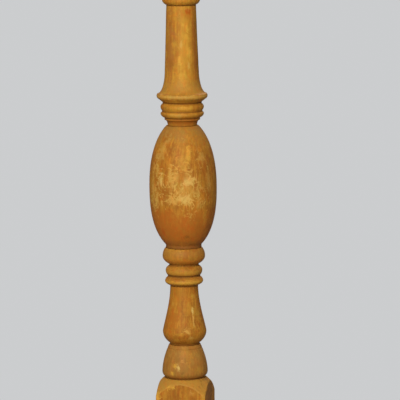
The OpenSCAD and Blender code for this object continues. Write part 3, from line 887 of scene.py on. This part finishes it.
# %% Marks above the bulb
WHEAT = (0.60, 0.365, 0.078)
TAN = (0.44, 0.213, 0.032)
CHESTNUT = (0.385, 0.150, 0.026)
MAHOGANY = (0.38, 0.122, 0.015)
CINNAMON = (0.50, 0.170, 0.015)
CLARET = (0.34, 0.105, 0.010)
MARKS = {
    "nozzle": marks_at(
        (-6, 622, 7, 8, 0.6, RUSSET),
        (9, 606, 5, 12, 0.7, GOLD),
        (-12, 632, 6, 6, 0.7, GOLD),
        (4, 642, 12, 3, 0.6, UMBER),
    ),
    # Painted shade: a dark band under the rim. Above it, a pale band round the rim is rubbed wear and also a
    # painted highlight.
    "column": zone(466.8, 60, 1.4, 0.8, DIRT_AND_SHADE, 0.1)
    + zone(474.6, 90, 1.5, 0.75, WHEAT, 0.6)
    + zone(484, 60, 14, 0.65, TAN, 0.3)
    + marks_at(
        (3, 535, 10, 55, 0.5, GOLD),
        (-13, 532, 9, 60, 0.9, CHESTNUT),
        (15.5, 535, 4.5, 55, 0.8, MAHOGANY),
        (-13, 559, 3, 4, 0.6, RUSSET),
        (-12.5, 541, 3, 5, 0.6, RUSSET),
        (-12, 512, 4, 6, 0.6, RUSSET),
        flaky=0.5,
    )
    + marks_at(
        (1.5, 557.5, 2.2, 3, 0.9, GOLD),
        (6.9, 553.5, 2, 6, 1.0, GOLD),
        (6.3, 544, 3.2, 4, 0.8, GOLD),
        (-0.5, 533.5, 2.6, 5, 0.9, STRAW),
        (-9.5, 534, 3, 4.5, 0.8, HONEY),
        (9, 525, 4, 6, 0.9, GOLD),
        (-2, 515.5, 2.6, 7, 1.0, GOLD),
        (8.6, 509, 2.4, 5, 0.8, STRAW),
        (3.4, 502.5, 2, 4, 0.8, GOLD),
        (-1, 498, 4.5, 5, 0.6, GOLD),
        (8.5, 571, 7, 8, 0.7, CINNAMON),
        (8, 574, 4.2, 4, 1.0, RUST),
        flaky=0.45,
    ),
    "upper_collar": zone(444.5, 60, 5.5, 0.85, CLARET, 0.15)
    # Dark lines in the grooves between the rings: dirt together with painted shade.
    + zone(456.4, 60, 0.8, 0.8, DIRT_AND_SHADE, 0.1)
    + zone(448.2, 60, 0.8, 0.6, DIRT_AND_SHADE, 0.1)
    + marks_at(
        (-20, 459, 5, 4, 0.7, UMBER),
        # Painted highlights: the next two pale marks on the fronts of the two rings.
        (3, 458, 8, 2.5, 0.6, GOLD),
        (-6, 450, 10, 2, 0.5, STRAW),
        (-19, 451, 5, 5, 0.6, RUSSET),
    ),
}
print("Marks above the bulb:", {node: len(marks) for node, marks in MARKS.items()})

# %% Marks on the bulb
HAZEL = (0.385, 0.184, 0.032)
COPPER = (0.47, 0.140, 0.014)
BRICK = (0.46, 0.135, 0.014)
COCOA = (0.33, 0.118, 0.020)
BEHIND_LEFT = CAMERA_AZIMUTH - math.radians(125)
BEHIND_RIGHT = CAMERA_AZIMUTH + math.radians(120)
MARKS["bulb"] = (
    zone(434, 60, 15, 0.75, HAZEL, 0.7)
    + zone(331, 120, 17, 0.7, COPPER, 0.35)
    + zone(312, 120, 28, 0.8, BRICK, 0.25)
    # Painted shade: the next two dark zones at the foot of the bulb, under its overhang.
    + zone(297, 60, 9, 0.8, COCOA, 0.25)
    + zone(295.6, 60, 3, 0.75, UMBER, 0.1)
    + marks_at(
        # Painted shade: the marks 29 to 31 mm right of the axis darken the right flank of the bulb.
        (31, 391, 7, 12, 0.7, RUSSET),
        (-22, 357, 8, 8, 0.7, RUSSET),
        (-23, 392, 6, 12, 0.5, RUSSET),
        (29, 352, 7, 22, 0.4, RUSSET),
        (31, 330, 10, 30, 0.4, UMBER),
        (6, 362, 17, 22, 0.7, STRAW),
        (-6, 349, 24, 5.5, 0.8, STRAW),
        (19, 346, 7, 9, 0.7, STRAW),
        # Painted highlight: the thin streaks 30 to 35 mm left of the axis run down the left edge of the bulb.
        (-35, 366, 4, 34, 0.7, STRAW),
        (-26, 374, 5, 10, 0.8, PALE),
        (-31, 352, 4, 14, 0.7, STRAW),
        (-30, 384, 3.5, 9, 0.6, STRAW),
        (-15, 374, 7, 14, 0.75, STRAW),
        (-7, 376, 5, 9, 0.6, STRAW),
        (23, 398, 6, 8, 0.45, STRAW),
        (30, 374, 5, 14, 0.4, STRAW),
        (-24, 410, 7, 16, 0.5, STRAW),
        (-4, 335, 6, 9, 0.4, HONEY),
        (24, 335, 5, 9, 0.5, HONEY),
        (3, 306, 4, 3, 0.5, DIRT_AND_SHADE),
    )
    + marks_at(
        (7, 409, 4.5, 13, 0.95, GOLD),
        (-24, 311, 4, 5, 0.7, RUST),
        (17, 322, 5, 14, 0.35, RUSSET),
        (26, 326, 4, 12, 0.5, HONEY),
        (-1, 394, 8, 12, 0.4, GOLD),
        (6, 372, 9, 7, 0.85, PALE),
        (3, 352, 9, 6, 0.75, PALE),
        flaky=0.6,
    )
    + marks_at(
        (-4, 372, 18, 20, 0.7, STRAW),
        (12, 350, 16, 7, 0.8, STRAW),
        (6, 380, 8, 8, 0.7, PALE),
        (-14, 404, 6, 16, 0.7, GOLD),
        (22, 396, 8, 12, 0.6, RUSSET),
        azimuth=BEHIND_LEFT,
    )
    + marks_at(
        (6, 366, 16, 18, 0.7, STRAW),
        (-12, 354, 14, 6, 0.8, STRAW),
        (2, 390, 7, 10, 0.7, PALE),
        (16, 408, 6, 14, 0.7, GOLD),
        (-20, 384, 8, 14, 0.6, RUSSET),
        azimuth=BEHIND_RIGHT,
    )
)
print("Marks on the bulb:", len(MARKS["bulb"]))

# %% Marks below the bulb
SAND = (0.57, 0.290, 0.034)
WALNUT = (0.38, 0.160, 0.028)
MARIGOLD = (0.56, 0.190, 0.018)
GINGER = (0.44, 0.145, 0.014)
NUTMEG = (0.41, 0.152, 0.020)
MARKS |= {
    # Painted shade with dirt: the dark line between the two rings of the lower collar.
    "lower_collar": zone(261.2, 60, 1.6, 0.9, DIRT_AND_SHADE, 0.1)
    + zone(258, 60, 0.7, 0.5, RUSSET, 0.2)
    + zone(268.3, 60, 0.7, 0.4, RUSSET, 0.2)
    + zone(253.5, 60, 2.8, 0.8, GOLD, 0.3)
    + zone(265.5, 60, 3.5, 0.5, SAND, 0.3)
    + zone(289, 60, 5, 0.4, WALNUT, 0.3)
    + zone(279, 60, 4, 0.7, MARIGOLD, 0.3),
    "baluster": marks_at(
        (-16, 202, 11, 24, 0.8, GINGER),
        (-19, 232, 6, 16, 0.6, GINGER),
        (14, 215, 6, 22, 0.4, GOLD),
        (4, 192, 5, 4, 0.8, STRAW),
        (-7, 188.5, 8, 2.6, 0.7, GOLD),
        (3, 184.5, 2.4, 2.4, 0.7, DIRT_AND_SHADE),
        (7, 184, 4, 2.4, 0.6, STRAW),
    )
    + marks_at(
        (9.8, 217, 1.5, 6, 1.0, PALE),
        (10.4, 209, 1.5, 7, 1.0, STRAW),
        (11, 201, 1.5, 7, 0.8, STRAW),
        flaky=0.3,
    ),
    "bell": zone(176.5, 60, 4, 0.35, NUTMEG, 0.2)
    + marks_at(
        (4, 165, 9, 9, 0.4, HONEY),
        (16, 147, 7, 6, 0.4, HONEY),
        (-8, 147.5, 2.4, 4, 1.0, PALE),
        (-15, 141.5, 3.4, 3, 1.0, GOLD),
        (-14, 151, 3.4, 3, 0.9, GOLD),
        (-3, 156.5, 2.6, 2, 0.8, STRAW),
        (-4, 142, 3, 2.4, 0.5, UMBER),
    ),
    "block": corner_marks(
        # Painted shade: the first mark darkens the whole right face of the block.
        (30, 0, 95, 20, 60, 0.6, UMBER),
        (-11, -29, 130, 5.5, 3.5, 1.0, GOLD),
        (-28, -30, 119, 4, 7, 1.0, GOLD),
        (13, -30, 123, 5, 4, 0.6, STRAW),
        (28, -30, 115, 3, 22, 0.8, HONEY),
    ),
    "base_moulding": corner_marks(
        (-30, -53, 50, 18, 6, 0.6, GOLD),
        (36, -53, 48, 14, 5, 0.5, UMBER),
        (-53, 10, 52, 16, 6, 0.5, HONEY),
        (10, 53, 50, 20, 6, 0.6, GOLD),
        (53, 20, 49, 16, 6, 0.5, UMBER),
    ),
    "plinth": corner_marks(
        (-75, -75, 31, 16, 12, 0.8, STRAW),
        (75, -75, 33, 13, 10, 0.7, STRAW),
        (75, 75, 31, 15, 11, 0.7, STRAW),
        (-75, 75, 31, 12, 10, 0.7, STRAW),
        (-15, -75, 22, 50, 6, 0.6, RUSSET),
        (40, -75, 33, 18, 6, 0.6, GOLD),
        (75, 10, 22, 50, 6, 0.6, RUSSET),
        (20, 75, 22, 50, 6, 0.6, RUSSET),
        (-75, -10, 22, 50, 6, 0.6, RUSSET),
    ),
}
print("All marks:", {node: len(marks) for node, marks in MARKS.items()})

# %% [markdown]
# ## The stem
# The seven sections were cut from different sticks: golden at the top, orange in the bulb and the baluster,
# brown in the bell. One material could serve them all, but the grain would then run on across the joints, so
# each section has a pith, a seed and tones of its own.

# %% Turn the stem
STEM_FINISH = {
    # name: seed, pith beside the axis in mm, tones, share of dirt and painted shade in the grooves, slot
    "nozzle": (2.0, (31, 12), GOLDEN, 1.0, "golden_wood"),
    "column": (5.0, (34, -9), GOLDEN, 1.0, "golden_wood"),
    "upper_collar": (8.0, (-22, 30), GOLDEN, 0.55, "golden_wood"),
    "bulb": (11.0, (-48, 20), ORANGE, 1.0, "orange_wood"),
    "lower_collar": (14.0, (26, 24), TAWNY, 0.9, "orange_wood"),
    "baluster": (17.0, (-30, -18), ORANGE, 1.0, "orange_wood"),
    "bell": (20.0, (29, -24), BROWN, 1.0, "brown_wood"),
}
for node, (seed, pith, tones, dirt_and_shade_share, slot) in STEM_FINISH.items():
    pith_place = [aside * MM for aside in pith]
    finish = wood_finish(node + " wood", seed, pith_place, tones, dirt_and_shade_share=dirt_and_shade_share, marks=MARKS[node])
    piece = turn_piece(
        node + "_turned", outlines[node], arris=0.45 * MM, step=1.1 * MM, Columns=200, Material=finish,
        Bow=0.16 * MM, Dent=0.2 * MM, Chip=0.4 * MM, Seed=seed,
    )
    place_piece(piece, "stand", slot, node)

# %% [markdown]
# ## Block, moulding and plinth
# The block has upright grain, like the stem. Its shoulders, which lean back and face up, get a painted light.
# The moulding and the plinth are boards with level grain.

# %% Square pieces
LEVEL_GRAIN = (0, math.pi / 2, 0)
# Painted light: the lighter colour of the block's shoulders where they face up
SHOULDER_LIGHT = (0.50, 0.250, 0.036)
SQUARE = {
    # name: neighbours, voxel in mm, seed, pith in mm, tones, slot, turn of the grain
    "block": (["bell", "base_moulding"], 0.7, 23.0, (40, 55), ORANGE, "golden_wood", (0, 0, 0)),
    "base_moulding": (["block", "plinth"], 0.8, 26.0, (90, 20), BROWN, "brown_wood", LEVEL_GRAIN),
    "plinth": (["base_moulding", *FEET], 1.0, 29.0, (80, 40), GOLDEN, "golden_wood", LEVEL_GRAIN),
}
for node, (neighbours, voxel, seed, pith, tones, slot, turn) in SQUARE.items():
    pith_place = [aside * MM for aside in pith]
    lit_shoulder = SHOULDER_LIGHT if node == "block" else None
    finish = wood_finish(
        node + " wood", seed, pith_place, tones, marks=MARKS[node], turn=turn, lit_shoulder=lit_shoulder
    )
    piece = wear_board(
        node + "_worn", node, neighbours, voxel * MM, Rounding=2, Feel=10, Material=finish,
        Bow=0.2 * MM, Dent=0.3 * MM, Chip=0.9 * MM, Seed=seed,
    )
    place_piece(piece, "stand", slot, node)

# %% [markdown]
# ## Feet
# The four bun feet are turned too, each about its own axis. Under the plinth they darken with dirt and
# painted shade, and the floor has rubbed the lower edge.

# %% Turn the feet
FOOT_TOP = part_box("plinth")[0].z
RUBBED_HEIGHT = 2 * MM
# The height under the plinth that darkens, with grime and painted shade
GRIME_AND_SHADE_HEIGHT = 3 * MM
FOOT_ENDS = 0.1 * MM


def foot_relief(point):
    """A rubbed rim at the floor, and grime with painted shade under the plinth."""
    heights = [0, RUBBED_HEIGHT, FOOT_TOP - GRIME_AND_SHADE_HEIGHT, FOOT_TOP]
    return float(np.interp(point.y, heights, [-0.3, 0.0, 0.0, 0.5]))


def foot_shown(point):
    """True between the floor and the plinth."""
    return FOOT_ENDS < point.y < FOOT_TOP - FOOT_ENDS


for number, node in enumerate(FEET):
    low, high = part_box(node)
    centre = ((low.x + high.x) / 2, (low.y + high.y) / 2)
    seed = 40.0 + 3 * number
    finish = wood_finish(node + " wood", seed, (centre[0] + 20 * MM, centre[1] - 12 * MM), BROWN)
    piece = turn_piece(
        node + "_turned", cut_outline(node, centre), arris=0.4 * MM, step=1.0 * MM,
        relief=foot_relief, shown=foot_shown, axis=(*centre, 0.0), Columns=128, Material=finish,
        Bow=0.2 * MM, Dent=0.25 * MM, Chip=0.5 * MM, Seed=seed,
    )
    place_piece(piece, "stand", "brown_wood", node)

# %% [markdown]
# ## The brass cup
# The cup is spun from sheet brass: a drip pan with a rolled edge, a tube for the candle, and its floor. All
# three are round, so the lathe makes them too, with hardly a dent. The brass has gone dull and brown, with a
# greenish crust where the tube meets the pan.

# %% Brass finish
BRIGHT_BRASS = (0.58, 0.39, 0.15)
DULL_BRASS = (0.36, 0.225, 0.075)
BROWN_BRASS = (0.17, 0.10, 0.035)
VERDIGRIS = (0.16, 0.22, 0.14)


def brass_finish(name, seed):
    """Dull sheet brass with spinning marks, brown tarnish and a green crust in the corners."""
    material, bench, shader = new_finish(name)
    place = bench.object_place()
    cloud = bench.noise(place, seed, scale=55, detail=4, roughness=0.6)
    fleck = bench.noise(place, seed + 4, scale=420, detail=3, roughness=0.6)
    flat_place = bench.vector("MULTIPLY", place, (1, 1, 0))
    from_axis = bench.length(flat_place)
    height = bench.node("ShaderNodeSeparateXYZ", {}, {0: place}, "Z")
    spun_place = bench.node("ShaderNodeCombineXYZ", {}, {0: from_axis, 2: height})
    spun = bench.noise(spun_place, seed + 8, scale=1400, detail=2)
    relief = bench.attribute("relief")
    crust = bench.step(relief + (fleck - 0.5) * 0.5, 0.12, 0.42)
    tarnish = bench.step(cloud + (fleck - 0.5) * 0.4, 0.42, 0.68)
    colour = bench.colour(bench.step(cloud + (spun - 0.5) * 0.3, 0.62, 0.34), DULL_BRASS, BRIGHT_BRASS)
    colour = bench.colour(tarnish * 0.8, colour, BROWN_BRASS)
    colour = bench.colour(crust * 0.8, colour, VERDIGRIS)
    ridges = spun * 0.4 + fleck * 0.4 + crust
    bump = bench.node("ShaderNodeBump", {}, {"Strength": 0.3, "Distance": 0.1 * MM, "Height": ridges})
    bench.fill(
        shader,
        {
            "Base Color": colour,
            "Metallic": 1 - crust * 0.9,
            "Roughness": 0.34 + 0.2 * tarnish + 0.1 * fleck + 0.25 * crust,
            "Normal": bump,
        },
    )
    return material


brass = brass_finish("aged brass", 60.0)
print("Finish:", brass.name)

# %% Spin the cup
CRUST_REACH = 9 * MM
cup_corner = Vector((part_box("socket_tube")[1].x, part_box("drip_pan")[0].z))


def cup_relief(point):
    """Dirt towards the corner between the tube and the pan."""
    return max(0.0, 0.6 - (point - cup_corner).length / CRUST_REACH)


def cup_shown(point):
    """The cup wears all over."""
    return True


for node in CUP:
    piece = turn_piece(
        node + "_spun", outlines[node], arris=0.15 * MM, step=1.2 * MM, relief=cup_relief, shown=cup_shown,
        Columns=160, Material=brass, Bow=0.03 * MM, Dent=0.04 * MM, Chip=0.0, Seed=60.0,
    )
    place_piece(piece, "candle_cup", "aged_brass", node)

# %% [markdown]
# ## Screws
# Four wood screws hold the moulding to the plinth from below. One screw is made and set at four points,
# each turned another way, as a hand leaves them. Its radius follows a rule along its height: a countersunk
# head, a shank that ends in a point, and a thread whose ridge climbs one pitch with each turn. A box cuts
# the slot.

# %% Iron finish
BARE_IRON = (0.075, 0.070, 0.066)
RUSTY_IRON = (0.16, 0.065, 0.024)


def iron_finish(name, seed):
    """Dark iron with a rusty bloom."""
    material, bench, shader = new_finish(name)
    place = bench.object_place()
    cloud = bench.noise(place, seed, scale=300, detail=4, roughness=0.65)
    rust = bench.step(cloud, 0.50, 0.66)
    colour = bench.colour(rust, BARE_IRON, RUSTY_IRON)
    bump = bench.node("ShaderNodeBump", {}, {"Strength": 0.4, "Distance": 0.1 * MM, "Height": cloud})
    bench.fill(
        shader,
        {"Base Color": colour, "Metallic": 1 - rust * 0.9, "Roughness": 0.45 + 0.35 * rust, "Normal": bump},
    )
    return material


iron = iron_finish("dark iron", 74.0)
print("Finish:", iron.name)

# %% The screw tree
SCREW_COLUMNS = 28
SCREW_ROWS = 170
THREAD_FROM = 0.35
THREAD_FULL = 0.40
SHARP_FROM = math.radians(35)

lengths = ("Length", "Head", "Shank", "Point", "Pitch", "Thread", "Slot width", "Slot depth")
screw, asks, SCREW_KEYS = new_tree(
    "drive the screws",
    {"Holes": "Geometry", **{label: "Float" for label in lengths}, "Seed": "Int", "Material": "Material"},
)
sheet, turn, row = rolled_grid(screw, SCREW_COLUMNS + 1, SCREW_ROWS)
climb = screw.clamped((row - 1) / (SCREW_ROWS - 2)) * asks["Length"]
cone = screw.maths("MAXIMUM", asks["Shank"], asks["Head"] - climb)
point = screw.clamped((asks["Length"] - climb) / asks["Point"])
laps = climb / asks["Pitch"] - turn / (2 * math.pi)
lap = screw.maths("FRACT", laps)
valley = 1 - screw.maths("ABSOLUTE", lap * 2 - 1)
threaded = screw.step(climb / asks["Length"], THREAD_FROM, THREAD_FULL)
radius = (cone - asks["Thread"] * valley * threaded) * point * screw.clamped(row)
places = ring_point(screw, radius, turn, climb)
rolled = screw.node("GeometryNodeSetPosition", {}, {"Geometry": sheet, "Position": places})
closed = screw.node("GeometryNodeMergeByDistance", {}, {"Geometry": rolled, "Distance": WELD})
print("Screw inputs:", list(SCREW_KEYS))

# %% Slot, edges and holes
cut = {"operation": "DIFFERENCE", "solver": "EXACT"}
sides = {0: asks["Head"] * 3, 1: asks["Slot width"], 2: asks["Slot depth"] * 2}
slot_size = screw.node("ShaderNodeCombineXYZ", {}, sides)
slot_box = screw.node("GeometryNodeMeshCube", {}, {"Size": slot_size})
slotted = screw.node("GeometryNodeMeshBoolean", cut, {0: closed, 1: slot_box})
fold = screw.node("GeometryNodeInputMeshEdgeAngle", {}, {})
sharp = screw.maths("GREATER_THAN", fold, SHARP_FROM)
crisp = screw.node(
    "GeometryNodeSetShadeSmooth",
    {"domain": "EDGE"},
    {"Geometry": slotted, "Selection": sharp, "Shade Smooth": False},
)
twist = screw.node(
    "FunctionNodeRandomValue",
    {"data_type": "FLOAT_VECTOR"},
    {"Max": (0.0, 0.0, math.pi), "Seed": asks["Seed"]},
)
driven = screw.node(
    "GeometryNodeInstanceOnPoints", {}, {"Points": asks["Holes"], "Instance": crisp, "Rotation": twist}
)
end_tree(screw, driven, asks["Material"])
print("Screw grid:", SCREW_COLUMNS, "by", SCREW_ROWS)

# %% Drive the screws
SCREW_HEAD = 4.0 * MM
screws_low, screws_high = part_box("base_screws")
holes = [
    (x, y, screws_low.z)
    for x in (screws_low.x + SCREW_HEAD, screws_high.x - SCREW_HEAD)
    for y in (screws_low.y + SCREW_HEAD, screws_high.y - SCREW_HEAD)
]
hole_mesh = bpy.data.meshes.new("base_screws_driven")
hole_mesh.from_pydata(holes, [], [])
piece = linked("base_screws_driven", hole_mesh)
apply_tree(
    piece, screw, SCREW_KEYS,
    {
        "Length": screws_high.z - screws_low.z, "Head": SCREW_HEAD, "Shank": 2.0 * MM, "Point": 6.0 * MM,
        "Pitch": 1.9 * MM, "Thread": 0.35 * MM, "Slot width": 1.2 * MM, "Slot depth": 1.1 * MM, "Seed": 5,
        "Material": iron,
    },
)
place_piece(settle(piece), "stand", "dark_iron", "base_screws")

# %% [markdown]
# ## Wedge
# The wedge that spreads the tenon shows only from below, as a strip of end grain. Its CAD shape is right,
# so it stays and gets a wood of its own.

# %% Wedge
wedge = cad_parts["tenon_wedge"]
wedge.data.materials.clear()
wedge.data.materials.append(wood_finish("wedge wood", 70.0, (30 * MM, 5 * MM), BROWN))
print("Kept CAD shape:", wedge.name)
